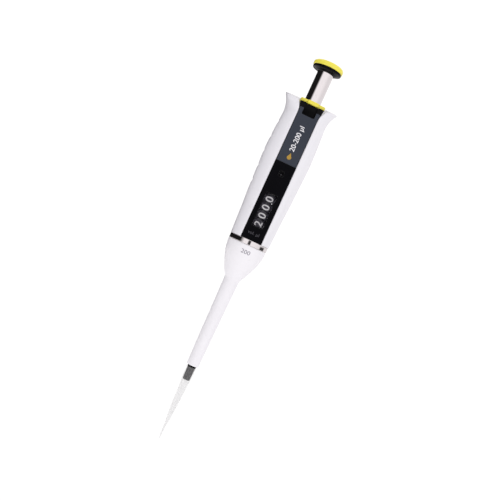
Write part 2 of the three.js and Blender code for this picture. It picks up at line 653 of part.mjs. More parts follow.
const knob = box(-RISER_HALF, RISER_HALF, RISER_BACK + GAP, 17.2, 222.2, 228.2)
  .add(box(-SLIDER_HALF, SLIDER_HALF, 15.5, 16.9, 221.4, 228.8));
add('lock_slider', knob, GREY, 0.4);

export default group;
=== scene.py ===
"""A single-channel pipette with its tip fitted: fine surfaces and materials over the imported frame.

Lengths in the pieces are millimetres, and heights are above the orifice of the tip, as the parts
were dimensioned. point() turns them into the frame's metres, whose origin is at the neck.
"""
import math

import bmesh
import bpy
from mathutils import Matrix, Vector
from mathutils.geometry import delaunay_2d_cdt


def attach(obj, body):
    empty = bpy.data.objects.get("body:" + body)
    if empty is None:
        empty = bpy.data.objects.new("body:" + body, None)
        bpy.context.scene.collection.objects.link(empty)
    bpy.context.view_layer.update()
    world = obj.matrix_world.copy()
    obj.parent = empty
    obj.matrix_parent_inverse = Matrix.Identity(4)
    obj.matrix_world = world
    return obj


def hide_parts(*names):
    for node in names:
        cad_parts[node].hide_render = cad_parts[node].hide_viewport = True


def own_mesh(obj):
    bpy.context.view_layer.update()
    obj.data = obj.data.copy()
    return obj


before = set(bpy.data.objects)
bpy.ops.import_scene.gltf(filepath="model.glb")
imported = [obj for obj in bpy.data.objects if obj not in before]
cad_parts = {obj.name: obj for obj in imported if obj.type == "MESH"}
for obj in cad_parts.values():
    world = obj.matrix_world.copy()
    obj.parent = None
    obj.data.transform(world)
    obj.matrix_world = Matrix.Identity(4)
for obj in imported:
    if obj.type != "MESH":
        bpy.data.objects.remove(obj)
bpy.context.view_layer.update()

MM = 0.001
STAND_HEIGHT = 227.0

# Dimensions, most of them shared with the parts.
SLEEVE_BOTTOM, SLEEVE_TOP = 52.2, 138.0
RING_RADIUS, RING_BORE = 13.1, 11.95
HANDLE_BOTTOM, RIM_HEIGHT, RIM_SLOPE, FLARE_START = 141.5, 239.0, 0.225, 229.0
WALL, FRONT_POWER, BACK_POWER = 1.6, 2.8, 2.3
STRIP_HALF, STRIP_TOP, STRIP_TOP_HALF, STRIP_FLARE_START = 7.15, 235.6, 8.15, 227.0
FASCIA_FRONT, FASCIA_LEAN = 12.2, 1.8
LABEL_BOTTOM, LABEL_TOP, LABEL_MARGIN, NOTCH_BOTTOM, NOTCH_HALF = 195.3, 232.1, 0.42, 228.3, 4.2
WINDOW_BOTTOM, WINDOW_TOP, WINDOW_HALF = 150.9, 173.9, 3.75
SHAFT_RADIUS, BUTTON_TOP, BUTTON_RADIUS = 5.45, 267.0, 10.2
DRUM_RADIUS, SHELF_RADIUS, DRUM_PITCH, DRUM_FIRST, DRUM_HALF = 10.2, 9.2, 5.72, 153.75, 2.6
PLATE_TOP, PLATE_HALF, THUMB_FRONT, THUMB_BACK = 238.4, 8.5, -10.2, 8.0
GROOVES = [178.2, 188.6, 199.0, 209.4, 219.8]
GROOVE_HALF, GROOVE_DEPTH, GROOVE_FADE = 1.5, 0.95, (-5.0, 0.5)
RIM_CORNER, LIP_STRETCH = 3.2, 1.6

# Height, half width, depth of the widest point, and back, up the handle.
STATIONS = [
    (141.5, 13.35, 0.0, 13.35),
    (151.8, 13.8, 0.5, 13.9),
    (162.2, 14.25, 1.0, 14.5),
    (172.6, 14.9, 1.5, 15.1),
    (183.0, 15.3, 2.0, 15.6),
    (193.4, 15.75, 2.5, 16.0),
    (201.2, 16.0, 2.8, 16.2),
    (211.6, 15.65, 3.0, 15.8),
    (222.0, 15.1, 3.2, 15.1),
    (227.2, 14.75, 3.4, 14.7),
    (229.8, 14.95, 3.6, 14.85),
    (232.4, 15.5, 3.8, 15.3),
    (235.0, 16.5, 4.1, 16.1),
    (237.2, 17.8, 4.3, 17.2),
    (239.0, 18.7, 4.5, 18.1),
]
# Outer radius of the ejector sleeve at each height.
SLEEVE_PROFILE = [
    (4.03, 52.2), (4.45, 73.8), (4.6, 86.8), (4.8, 99.8), (5.0, 108.0), (5.2, 114.0), (5.95, 115.5),
    (7.4, 118.0), (8.55, 120.6), (9.65, 123.2), (10.7, 125.8), (11.55, 128.4), (12.3, 131.0),
    (12.72, 133.6), (13.0, 136.2), (13.05, 138.0),
]


# ---------------------------------------------------------------- numbers
def point(x, y, height):
    return Vector((x * MM, y * MM, (height - STAND_HEIGHT) * MM))


def clamp(value, low=0.0, high=1.0):
    return max(low, min(high, value))


def smoothstep(low, high, value):
    t = clamp((value - low) / (high - low))
    return t * t * (3 - 2 * t)


def hermite(table, key, column, value):
    """A smooth curve through one column of a table, read at a value of its key column."""
    count = len(table)
    i = 0
    while i < count - 2 and table[i + 1][key] < value:
        i += 1

    def slope(k):
        a, b = table[max(k - 1, 0)], table[min(k + 1, count - 1)]
        return (b[column] - a[column]) / (b[key] - a[key])

    low, high = table[i], table[i + 1]
    span = high[key] - low[key]
    t = clamp((value - low[key]) / span)
    a, b = low[column], high[column]
    start, end = slope(i) * span, slope(i + 1) * span
    return (
        a * (2 * t**3 - 3 * t**2 + 1)
        + start * (t**3 - 2 * t**2 + t)
        + b * (3 * t**2 - 2 * t**3)
        + end * (t**3 - t**2)
    )


def steps(start, end, count):
    return [start + (end - start) * i / count for i in range(count + 1)]


def filleted(corners, pieces=5):
    """A closed outline from (a, b, reach) corners, each rounded over its reach along both sides."""
    out = []
    count = len(corners)
    for i, (a, b, reach) in enumerate(corners):
        here = Vector((a, b))
        if reach <= 0:
            out.append((a, b))
            continue
        before = Vector(corners[i - 1][:2]) - here
        after = Vector(corners[(i + 1) % count][:2]) - here
        first = here + before.normalized() * min(reach, before.length * 0.49)
        last = here + after.normalized() * min(reach, after.length * 0.49)
        for t in steps(0, 1, pieces):
            out.append(tuple(first * (1 - t) ** 2 + here * 2 * t * (1 - t) + last * t**2))
    return out


def rounded_rectangle(x0, x1, y0, y1, radius, pieces=6):
    corners = [(x0, y0, radius), (x1, y0, radius), (x1, y1, radius), (x0, y1, radius)]
    return filleted(corners, pieces)


# ---------------------------------------------------------------- meshes
def finish_mesh(name, bm, material, sharp=35.0):
    bmesh.ops.remove_doubles(bm, verts=bm.verts, dist=1e-7)
    bmesh.ops.dissolve_degenerate(bm, dist=1e-7, edges=bm.edges)
    bmesh.ops.recalc_face_normals(bm, faces=bm.faces)
    mesh = bpy.data.meshes.new(name)
    bm.to_mesh(mesh)
    bm.free()
    mesh.polygons.foreach_set("use_smooth", [True] * len(mesh.polygons))
    if sharp:
        mesh.set_sharp_from_angle(angle=math.radians(sharp))
    mesh.materials.append(material)
    obj = bpy.data.objects.new(name, mesh)
    bpy.context.scene.collection.objects.link(obj)
    return obj


def lathe(name, profile, material, segments=96, sharp=35.0, radial=None, arc=None):
    """A turned piece from (radius, height) points. It closes on itself unless both ends touch the
    axis. radial(angle, radius, height) may reshape a radius, and arc=(start, end) turns a part."""
    bm = bmesh.new()
    loop = list(profile)
    open_ends = loop[0][0] < 1e-6 and loop[-1][0] < 1e-6
    first, last = arc or (0.0, 2 * math.pi)
    spokes = segments + 1 if arc else segments
    rings = []
    for radius, height in loop:
        if radius < 1e-6:
            rings.append([bm.verts.new(point(0, 0, height))] * segments)
            continue
        ring = []
        for i in range(spokes):
            angle = first + (last - first) * i / segments
            r = radial(angle, radius, height) if radial else radius
            ring.append(bm.verts.new(point(r * math.cos(angle), r * math.sin(angle), height)))
        rings.append(ring)
    pairs = list(zip(rings, rings[1:]))
    if not open_ends:
        pairs.append((rings[-1], rings[0]))
    for low, high in pairs:
        for i in range(segments):
            j = (i + 1) % spokes
            corners = []
            for vert in (low[i], low[j], high[j], high[i]):
                if vert not in corners:
                    corners.append(vert)
            if len(corners) > 2:
                bm.faces.new(corners)
    if arc:
        bm.faces.new([ring[0] for ring in rings])
        bm.faces.new([ring[-1] for ring in rings])
    return finish_mesh(name, bm, material, sharp)


def inset_loop(loop, distance):
    """The closed loop moved to its left by a distance, mitred at each corner."""
    out = []
    count = len(loop)
    for i in range(count):
        here = Vector(loop[i])
        ahead = (Vector(loop[(i + 1) % count]) - here).normalized()
        behind = (here - Vector(loop[i - 1])).normalized()
        normal = Vector((-(ahead.y + behind.y), ahead.x + behind.x))
        if normal.length < 1e-6:
            normal = Vector((-ahead.y, ahead.x))
        normal.normalize()
        miter = max(0.5, normal.dot(Vector((-ahead.y, ahead.x))))
        out.append(tuple(here + normal * distance / miter))
    return out


def is_left_turning(loop):
    area = sum(a[0] * b[1] - b[0] * a[1] for a, b in zip(loop, loop[1:] + loop[:1]))
    return area > 0


def is_inside(spot, loop):
    crossings = 0
    for (ax, ay), (bx, by) in zip(loop, loop[1:] + loop[:1]):
        if (ay > spot.y) != (by > spot.y) and spot.x < ax + (spot.y - ay) / (by - ay) * (bx - ax):
            crossings += 1
    return crossings % 2 == 1


EDGE_SUPPORT = 0.03


def plate(name, loops, place, thickness, bevel, material, back_bevel=0.0, sharp=35.0):
    """A plate with rounded edges. loops are the outline and any holes in the plate's own plane,
    and place(a, b, depth) gives each point, with depth measured back from the front face."""
    bm = bmesh.new()
    fixed = []
    for index, loop in enumerate(loops):
        wanted = index == 0
        fixed.append(loop if is_left_turning(loop) == wanted else loop[::-1])
    rings = [(0.0, thickness)]
    if back_bevel:
        arc = steps(0, math.pi / 2, 3)
        rings = [
            (back_bevel * (1 - math.sin(a)), thickness - back_bevel * (1 - math.cos(a))) for a in arc
        ]
    arc = steps(0, math.pi / 2, 4)
    rings = [(rings[0][0] + EDGE_SUPPORT, thickness)] + rings
    rings += [(bevel * (1 - math.cos(a)), bevel * (1 - math.sin(a))) for a in arc]
    rings.append((bevel + EDGE_SUPPORT, 0.0))
    ends = ([], [])
    for loop in fixed:
        rows = []
        for inset, depth in rings:
            moved = inset_loop(loop, inset) if inset else loop
            rows.append([(bm.verts.new(place(a, b, depth)), (a, b)) for a, b in moved])
        for low, high in zip(rows, rows[1:]):
            for i in range(len(low)):
                j = (i + 1) % len(low)
                bm.faces.new((low[i][0], low[j][0], high[j][0], high[i][0]))
        ends[0].append(rows[0])
        ends[1].append(rows[-1])
    for side in ends:
        flat, edges, verts = [], [], []
        for row in side:
            start = len(flat)
            flat += [Vector(position) for _, position in row]
            verts += [vert for vert, _ in row]
            edges += [(start + i, start + (i + 1) % len(row)) for i in range(len(row))]
        holes = [[position for _, position in row] for row in side[1:]]
        points, _, faces, originals, _, _ = delaunay_2d_cdt(flat, edges, [], 1, 1e-7)
        for face in faces:
            middle = sum((points[k] for k in face), Vector((0, 0))) / 3
            corners = [verts[originals[k][0]] for k in face if originals[k]]
            if len(set(corners)) < 3 or any(is_inside(middle, hole) for hole in holes):
                continue
            if bm.faces.get(corners) is None:
                bm.faces.new(corners)
    return finish_mesh(name, bm, material, sharp)


# ---------------------------------------------------------------- places on the pipette
def strip_face(height):
    t = max(0.0, (height - STRIP_FLARE_START) / (STRIP_TOP - STRIP_FLARE_START))
    return FASCIA_FRONT + FASCIA_LEAN * t * t


def strip_half(height):
    t = max(0.0, (height - STRIP_FLARE_START) / (STRIP_TOP - STRIP_FLARE_START))
    return STRIP_HALF + (STRIP_TOP_HALF - STRIP_HALF) * t * t


def on_strip(recess):
    return lambda x, height, depth: point(x, -strip_face(height) + recess + depth, height)


def on_floor(height):
    """A plate that lies level, with its front face up."""
    return lambda x, y, depth: point(x, y, height - depth)


def sleeve_radius(height):
    table = [(h, r) for r, h in SLEEVE_PROFILE]
    return hermite(table, 0, 1, height)


def handle_outline(height, count):
    """Points and inward normals round the handle at a height, from the strip's right edge round the
    back to its left edge, evenly spaced."""
    half = hermite(STATIONS, 0, 1, height)
    middle = hermite(STATIONS, 0, 2, height)
    back = hermite(STATIONS, 0, 3, height) - middle
    edge = (1 - (STRIP_HALF / half) ** FRONT_POWER) ** (1 / FRONT_POWER)
    front = (strip_face(height) + 0.1 + middle) / edge
    start = -math.acos(((strip_half(height) + 0.12) / half) ** (FRONT_POWER / 2))
    dense = []
    for angle in steps(start, math.pi - start, 600):
        c, s = math.cos(angle), math.sin(angle)
        power = FRONT_POWER if s < 0 else BACK_POWER
        depth = front if s < 0 else back
        x = math.copysign(half * abs(c) ** (2 / power), c)
        y = middle + math.copysign(depth * abs(s) ** (2 / power), s)
        dense.append(Vector((x, y)))
    lengths = [0.0]
    for a, b in zip(dense, dense[1:]):
        lengths.append(lengths[-1] + (b - a).length)
    total = lengths[-1]
    out = []
    k = 0
    for wanted in column_lengths(total, count):
        while k < len(dense) - 2 and lengths[k + 1] < wanted:
            k += 1
        t = clamp((wanted - lengths[k]) / (lengths[k + 1] - lengths[k]))
        position = dense[k].lerp(dense[k + 1], t)
        ahead = dense[min(k + 3, len(dense) - 1)] - dense[max(k - 2, 0)]
        normal = Vector((-ahead.y, ahead.x)).normalized()
        out.append((position, normal, min(wanted, total - wanted)))
    return out


def column_lengths(total, count):
    """Distances along the outline: a few close ones at each edge for its rounding, then even."""
    near = [WALL / 2 * (1 - math.cos(a)) for a in steps(0, math.pi / 2, 5)]
    middle = steps(near[-1], total - near[-1], count)[1:-1]
    return near + middle + [total - d for d in near[::-1]]


def edge_round(distance):
    """How far the wall's faces draw in at a distance from its edge, for a full round."""
    radius = WALL / 2
    if distance >= radius:
        return 0.0
    return radius - math.sqrt(max(0.0, radius**2 - (radius - distance) ** 2))


def groove_depth(height, y, middle):
    """The shallow finger grooves that run across the back and fade out at the sides."""
    depth = 0.0
    for centre in GROOVES:
        across = (height - centre) / GROOVE_HALF
        if abs(across) < 1:
            depth += GROOVE_DEPTH * math.cos(across * math.pi / 2) ** 2
    return depth * smoothstep(*GROOVE_FADE, y - middle)


def build_handle(material):
    """The moulded shell: an outer and an inner sheet that meet in a rounded edge along the strip and
    round the flared rim, whose front corners are rounded off."""
    columns = 150
    rows = steps(HANDLE_BOTTOM, FLARE_START, 190) + steps(FLARE_START, 237.6, 24)[1:]
    rows += [RIM_HEIGHT - WALL / 2 * LIP_STRETCH * (1 - math.sin(a)) for a in steps(0, math.pi / 2, 7)]
    bm = bmesh.new()
    sheets = ([], [])
    for nominal in rows:
        outline = handle_outline(nominal, columns)
        top = RIM_HEIGHT - nominal
        middle = hermite(STATIONS, 0, 2, nominal)
        lines = ([], [])
        for position, normal, distance in outline:
            drop = 0.0
            if distance < RIM_CORNER:
                drop = RIM_CORNER - math.sqrt(RIM_CORNER**2 - (RIM_CORNER - distance) ** 2)
            height = nominal - drop * smoothstep(FLARE_START, RIM_HEIGHT, nominal)
            draw = min(WALL / 2, edge_round(distance) + edge_round(top / LIP_STRETCH))
            groove = groove_depth(height, position.y, middle)
            for line, inset in zip(lines, (draw + groove, WALL - draw)):
                spot = position + normal * inset
                tilt = clamp((height - FLARE_START) / (RIM_HEIGHT - FLARE_START))
                line.append(bm.verts.new(point(spot.x, spot.y, height + tilt * RIM_SLOPE * spot.y)))
        sheets[0].append(lines[0])
        sheets[1].append(lines[1])
    for sheet in sheets:
        for low, high in zip(sheet, sheet[1:]):
            for i in range(len(low) - 1):
                bm.faces.new((low[i], low[i + 1], high[i + 1], high[i]))
    outer, inner = sheets[0][0], sheets[1][0]
    for i in range(len(outer) - 1):
        bm.faces.new((outer[i], inner[i], inner[i + 1], outer[i + 1]))
    bmesh.ops.remove_doubles(bm, verts=bm.verts, dist=2e-6)
    return finish_mesh("handle_moulding", bm, material, 40.0)


# ---------------------------------------------------------------- materials
class Nodes:
    """A Principled material whose colour, roughness and surface come from noise in the piece."""

    def __init__(self, name, color, roughness, metallic=0.0, **sockets):
        self.material = bpy.data.materials.new(name)
        self.material.use_nodes = True
        self.tree = self.material.node_tree
        self.shader = self.tree.nodes["Principled BSDF"]
        self.color = color
        self.shader.inputs["Base Color"].default_value = (*color, 1)
        self.shader.inputs["Roughness"].default_value = roughness
        self.shader.inputs["Metallic"].default_value = metallic
        for key, value in sockets.items():
            self.shader.inputs[key.replace("_", " ")].default_value = value
        self.coordinates = self.tree.nodes.new("ShaderNodeTexCoord").outputs["Object"]
        self.height = None

    def link(self, output, target):
        self.tree.links.new(output, target)

    def noise(self, scale, detail=3.0, stretch=(1, 1, 1), rough=0.55):
        """Noise whose features are about 1/scale metres across, stretched along an axis."""
        mapping = self.tree.nodes.new("ShaderNodeMapping")
        mapping.inputs["Scale"].default_value = stretch
        self.link(self.coordinates, mapping.inputs["Vector"])
        node = self.tree.nodes.new("ShaderNodeTexNoise")
        node.inputs["Scale"].default_value = scale
        node.inputs["Detail"].default_value = detail
        node.inputs["Roughness"].default_value = rough
        self.link(mapping.outputs["Vector"], node.inputs["Vector"])
        return node.outputs["Fac"]

    def spread(self, source, low, high, start=0.3, end=0.7):
        node = self.tree.nodes.new("ShaderNodeMapRange")
        for key, value in (("From Min", start), ("From Max", end), ("To Min", low), ("To Max", high)):
            node.inputs[key].default_value = value
        self.link(source, node.inputs["Value"])
        return node.outputs["Result"]

    def tint(self, source, other, amount=1.0):
        """The colour wanders between the base colour and another one."""
        mix = self.tree.nodes.new("ShaderNodeMixRGB")
        mix.inputs["Color1"].default_value = (*self.color, 1)
        mix.inputs["Color2"].default_value = (*other, 1)
        self.link(self.spread(source, 0.0, amount), mix.inputs["Fac"])
        self.link(mix.outputs["Color"], self.shader.inputs["Base Color"])
        return self

    def gloss(self, source, low, high):
        self.link(self.spread(source, low, high), self.shader.inputs["Roughness"])
        return self

    def bump(self, source, depth, strength=1.0):
        """Adds a surface relief of about depth metres."""
        node = self.tree.nodes.new("ShaderNodeBump")
        node.inputs["Distance"].default_value = depth
        node.inputs["Strength"].default_value = strength
        self.link(source, node.inputs["Height"])
        if self.height:
            self.link(self.height, node.inputs["Normal"])
        self.height = node.outputs["Normal"]
        self.link(self.height, self.shader.inputs["Normal"])
        return self


def moulded(name, color, other, low, high, grain=0.000012, **sockets):
    """Moulded plastic: faint flow marks in the colour, uneven gloss and a fine spark-eroded grain."""
    m = Nodes(name, color, (low + high) / 2, **sockets)
    m.tint(m.noise(38, 2), other, 0.5)
    m.gloss(m.noise(70, 2), low, high)
    m.bump(m.noise(4200, 2), grain)
    m.bump(m.noise(60, 1), 0.00002, 0.4)
    return m.material


def metal(name, color, other, low, high, stretch=(1, 1, 1), lines=0.000004):
    """Metal with fine lines left by polishing or drawing, and slightly uneven shine."""
    m = Nodes(name, color, (low + high) / 2, 1.0)
    m.tint(m.noise(120, 3), other, 0.5)
    m.gloss(m.noise(600, 4, stretch), low, high)
    m.bump(m.noise(2600, 4, stretch), lines)
    return m.material


WHITE = moulded("white_satin", (0.85, 0.85, 0.89), (0.835, 0.835, 0.877), 0.27, 0.33)
SLEEVE = moulded("sleeve_white", (0.90, 0.895, 0.93), (0.885, 0.88, 0.915), 0.25, 0.32)
GLOSS = moulded("black_gloss", (0.003, 0.003, 0.004), (0.005, 0.005, 0.007), 0.04, 0.09, 0.000001,
                Specular_IOR_Level=0.35)
BLACK = moulded("black_satin", (0.002, 0.002, 0.0023), (0.0035, 0.0035, 0.004), 0.18, 0.28, 0.000005,
                Specular_IOR_Level=0.07)
YELLOW = moulded("yellow_plastic", (0.89, 0.80, 0.085), (0.86, 0.765, 0.07), 0.26, 0.34)
LABEL = moulded("slate_print", (0.026, 0.033, 0.050), (0.021, 0.027, 0.043), 0.34, 0.44, 0.000008,
                Specular_IOR_Level=0.35)
GREY = moulded("grey_plastic", (0.030, 0.031, 0.035), (0.04, 0.041, 0.045), 0.38, 0.5, 0.00002)
CONE = moulded("cone_plastic", (0.012, 0.012, 0.0135), (0.02, 0.02, 0.022), 0.25, 0.36, 0.000008,
               Specular_IOR_Level=0.3)
DRUM = moulded("drum_plastic", (0.046, 0.042, 0.06), (0.058, 0.053, 0.074), 0.35, 0.5, 0.00001)
IVORY = moulded("ivory_plastic", (0.72, 0.70, 0.63), (0.66, 0.63, 0.55), 0.35, 0.5)
SEAL = moulded("seal_rubber", (0.02, 0.06, 0.13), (0.03, 0.08, 0.16), 0.5, 0.65, 0.00001)
FILTER = moulded("filter_fibre", (0.8, 0.8, 0.76), (0.7, 0.7, 0.66), 0.8, 0.95, 0.0001)
PAINT = moulded("white_print", (0.86, 0.86, 0.88), (0.78, 0.78, 0.82), 0.4, 0.55, 0.000004)
GREY_PAINT = moulded("grey_print", (0.16, 0.145, 0.20), (0.22, 0.20, 0.26), 0.4, 0.55, 0.000004)
DIM_PAINT = moulded("dim_print", (0.05, 0.048, 0.06), (0.07, 0.067, 0.08), 0.4, 0.55, 0.000004)
AMBER = moulded("amber_print", (0.42, 0.25, 0.025), (0.36, 0.20, 0.015), 0.35, 0.5, 0.000004)
TIP = moulded("tip_plastic", (0.50, 0.50, 0.505), (0.46, 0.46, 0.465), 0.16, 0.26, 0.000002, Alpha=0.12)
PANE = moulded("clear_pane", (0.01, 0.01, 0.013), (0.02, 0.02, 0.024), 0.03, 0.07, 0.000001, Alpha=0.1)
CHROME = metal("chrome", (0.765, 0.725, 0.73), (0.70, 0.67, 0.675), 0.03, 0.09, (1, 1, 0.04), 0.0000006)
STEEL = metal("steel", (0.56, 0.57, 0.58), (0.48, 0.49, 0.50), 0.22, 0.38, (1, 1, 0.05))
BRASS = metal("brass", (0.62, 0.45, 0.19), (0.52, 0.37, 0.15), 0.2, 0.38, (0.1, 0.1, 1))


# ---------------------------------------------------------------- lettering
CAPITAL, BURIED = 0.73, -0.02


def letters(text, size, depth=0.03, stretch=1.0, bold=0.0):
    """Vertices (across, up, out) in millimetres, centred, and faces, for flat printed lettering
    whose capitals are size tall."""
    curve = bpy.data.curves.new("letters", "FONT")
    curve.body = text
    curve.size = 1.0
    curve.extrude = 0.02
    curve.offset = bold
    curve.resolution_u = 5
    obj = bpy.data.objects.new("letters", curve)
    bpy.context.scene.collection.objects.link(obj)
    mesh = bpy.data.meshes.new_from_object(obj.evaluated_get(bpy.context.evaluated_depsgraph_get()))
    bpy.data.objects.remove(obj)
    xs = [v.co.x for v in mesh.vertices]
    ys = [v.co.y for v in mesh.vertices]
    scale = size / CAPITAL
    middle = ((min(xs) + max(xs)) / 2, (min(ys) + max(ys)) / 2)
    verts = []
    for v in mesh.vertices:
        across, up = (v.co.x - middle[0]) * scale * stretch, (v.co.y - middle[1]) * scale
        verts.append((across, up, depth if v.co.z > 0 else BURIED))
    faces = [tuple(p.vertices) for p in mesh.polygons]
    return verts, faces


def printed(name, lettering, place, material):
    """Lettering put down by place(across, up, out)."""
    bm = bmesh.new()
    verts, faces = lettering
    made = [bm.verts.new(place(*v)) for v in verts]
    for face in faces:
        corners = [made[i] for i in face]
        if len(set(corners)) == len(corners) and bm.faces.get(corners) is None:
            bm.faces.new(corners)
    return finish_mesh(name, bm, material, 30.0)


def piece(obj, body, slot, *nodes):
    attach(obj, body)
    if nodes:
        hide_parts(*nodes)
    return obj


# ---------------------------------------------------------------- handle, strip and label
piece(build_handle(WHITE), "handle", "white_plastic", "handle_shell")


def strip_loop(bottom, top, shrink, corner=0.5):
    """The strip's outline as a loop, with close points where it leans forward."""
    levels = [top - corner] if top < STRIP_FLARE_START else steps(STRIP_FLARE_START, top - corner, 22)
    right = [(strip_half(h) - shrink, h) for h in levels]
    end = strip_half(top) - shrink
    arc = [(end - corner * (1 - math.cos(a)), top - corner * (1 - math.sin(a)))
           for a in steps(0, math.pi / 2, 4)]
    side = [(STRIP_HALF - shrink - corner * (1 - math.sin(a)), bottom + corner * (1 - math.cos(a)))
            for a in steps(0, math.pi / 2, 4)]
    right = side + right + arc[1:]
    return right + [(-x, h) for x, h in right[::-1]]


def notched_loop(bottom, top, shrink, notch_half, notch_bottom, corner=0.4):
    """The strip's outline with the notch for the finger plate's nose cut into its top."""
    loop = strip_loop(bottom, top, shrink, corner)
    half = len(loop) // 2
    walls = [(notch_half, h) for h in steps(top, notch_bottom + 0.9, 16)]
    turn = [(notch_half - 0.9 * (1 - math.cos(a)), notch_bottom + 0.9 * (1 - math.sin(a)))
            for a in steps(0, math.pi / 2, 6)]
    right = walls + turn[1:]
    return loop[:half] + right + [(-x, h) for x, h in right[::-1]] + loop[half:]


window = rounded_rectangle(-WINDOW_HALF, WINDOW_HALF, WINDOW_BOTTOM, WINDOW_TOP, 0.7)
lock_hole = rounded_rectangle(-1.6, 1.6, 186.4, 189.6, 0.5)
lower = strip_loop(HANDLE_BOTTOM + 0.1, LABEL_BOTTOM - 0.06, 0.0, 0.25)
strip_piece = plate("front_strip", [lower, window, lock_hole], on_strip(0.1), 1.15, 0.16, GLOSS)
piece(strip_piece, "handle", "black_gloss", "fascia")
upper = notched_loop(LABEL_BOTTOM + 0.06, STRIP_TOP, 0.0, NOTCH_HALF, NOTCH_BOTTOM, 0.7)
backing = plate("strip_top", [upper], on_strip(0.55), 0.7, 0.1, BLACK)
piece(backing, "handle", "black_gloss")
label_loop = notched_loop(
    LABEL_BOTTOM, LABEL_TOP, LABEL_MARGIN, NOTCH_HALF + 0.2, NOTCH_BOTTOM - 0.2, 0.3)
label_piece = plate("slate_label", [label_loop], on_strip(0.08), 0.45, 0.12, LABEL)
piece(label_piece, "handle", "slate_label", "label_plate")

pane = rounded_rectangle(-3.68, 3.68, WINDOW_BOTTOM + 0.07, WINDOW_TOP - 0.07, 0.65)
piece(plate("counter_pane", [pane], on_strip(0.2), 0.8, 0.08, PANE), "handle", "window", "display_window")
lock_pane = rounded_rectangle(-1.53, 1.53, 186.47, 189.53, 0.45)
piece(plate("lock_pane", [lock_pane], on_strip(0.2), 0.8, 0.08, PANE), "handle", "window", "lock_window")


def up_the_front(x, height, recess):
    """Lettering that reads up the strip, its tops towards -X."""
    return lambda a, b, c: point(x - b, -strip_face(height + a) + recess - c, height + a)


words = letters("20-200 µl", 3.35, 0.03, 0.98, 0.012)
piece(printed("volume_range", words, up_the_front(0.1, 212.3, 0.08), PAINT), "handle", "slate_label")
unit = letters("vol. µl", 2.1, 0.03, 1.1)
piece(printed("unit_mark", unit,
              lambda a, b, c: point(-0.3 + a, -FASCIA_FRONT + 0.1 - c, 146.1 + b), DIM_PAINT),
      "handle", "black_gloss")


def drop_loop(x, height, size, pieces=28):
    """A drop: a circle drawn up to a point."""
    loop = []
    for angle in steps(-math.pi * 0.5, math.pi * 1.5, pieces)[:-1]:
        c, s = math.cos(angle), math.sin(angle)
        lift = 1.0 + 0.85 * max(0.0, s) ** 3
        squeeze = 1.0 - 0.55 * max(0.0, s) ** 1.5
        loop.append((x + size * c * squeeze, height + size * s * lift))
    return loop


drop = plate("drop_mark", [drop_loop(0.1, 199.6, 1.5)], on_strip(0.055), 0.03, 0.01, AMBER)
piece(drop, "handle", "slate_label")

# The point between the units and the tenths, printed on the inside of the pane.
dot = [(2.45 + 0.42 * math.cos(a), 168.1 + 0.42 * math.sin(a)) for a in steps(0, 2 * math.pi, 18)[:-1]]
piece(plate("decimal_point", [dot], on_strip(1.02), 0.03, 0.008, PAINT), "handle", "window")

# ---------------------------------------------------------------- ring, sleeve and tip
ring_low, ring_high = SLEEVE_TOP + 0.1, HANDLE_BOTTOM - 0.06
ring_profile = filleted([
    (RING_BORE, ring_low, 0.1), (RING_RADIUS, ring_low, 0.3), (RING_RADIUS, ring_high, 0.3),
    (RING_BORE, ring_high, 0.1),
], 5)
piece(lathe("bright_ring", ring_profile, CHROME, 160), "handle", "chrome", "trim_ring")

# The collar behind the ring is open at the back, where the ejector's bar passes.
collar_gap = math.radians(20)
collar = filleted([(11.0, 134.8, 0.1), (11.45, 134.8, 0.15), (11.45, 139.6, 0.1), (11.0, 139.6, 0.1)], 3)
collar_arc = (math.pi / 2 + collar_gap, math.pi * 5 / 2 - collar_gap)
piece(lathe("inner_collar", collar, BLACK, 100, arc=collar_arc), "handle", "black_gloss")

heights = steps(SLEEVE_BOTTOM + 0.3, 113.6, 40) + steps(113.9, SLEEVE_TOP - 0.5, 60)
outer = [(sleeve_radius(h), h) for h in heights]
foot = [
    (3.12, SLEEVE_BOTTOM + 0.25), (3.3, SLEEVE_BOTTOM), (3.85, SLEEVE_BOTTOM), (3.98, SLEEVE_BOTTOM + 0.1),
]
top = [(13.0, SLEEVE_TOP - 0.15), (12.8, SLEEVE_TOP), (12.2, SLEEVE_TOP)]
inner = [(max(3.12, sleeve_radius(h) - (0.9 if h < 114 else 1.15)), h) for h in steps(137.0, 54.0, 40)]
piece(lathe("ejector_cone", foot + outer + top + inner, SLEEVE, 144), "ejector", "white_plastic",
      "ejector_sleeve")


def round_the_bell(height):
    def place(a, b, c):
        radius = sleeve_radius(height + b) + c
        angle = a / sleeve_radius(height)
        return point(radius * math.sin(angle), -radius * math.cos(angle), height + b)
    return place


mark = letters("200", 2.7, 0.03, 1.15)
piece(printed("capacity_mark", mark, round_the_bell(133.5), GREY_PAINT), "ejector", "white_plastic")

TIP_OUTER = [
    (0.42, 0.0), (0.75, 5.1), (1.0, 9.75), (1.55, 14.4), (1.95, 19.2), (2.5, 28.3), (2.87, 38.35),
    (3.05, 39.6), (3.3, 40.8), (3.6, 50.6),
]


def tip_profile():
    table = [(h, r) for r, h in TIP_OUTER]
    outside = [(hermite(table, 0, 1, h), h) for h in steps(0.15, 50.6, 90)]
    inside = []
    for h in steps(50.6, 0.3, 60):
        if h > 41.5:
            inside.append((2.72 + (h - 41.5) * 0.025, h))
        else:
            inside.append((max(0.22, hermite(table, 0, 1, h) - 0.2 - 0.25 * smoothstep(0, 18, h)), h))
    return [(0.24, 0.0), (0.36, 0.0)] + outside + [(3.5, 50.95), (3.4, 51.0), (3.05, 51.0)] + inside


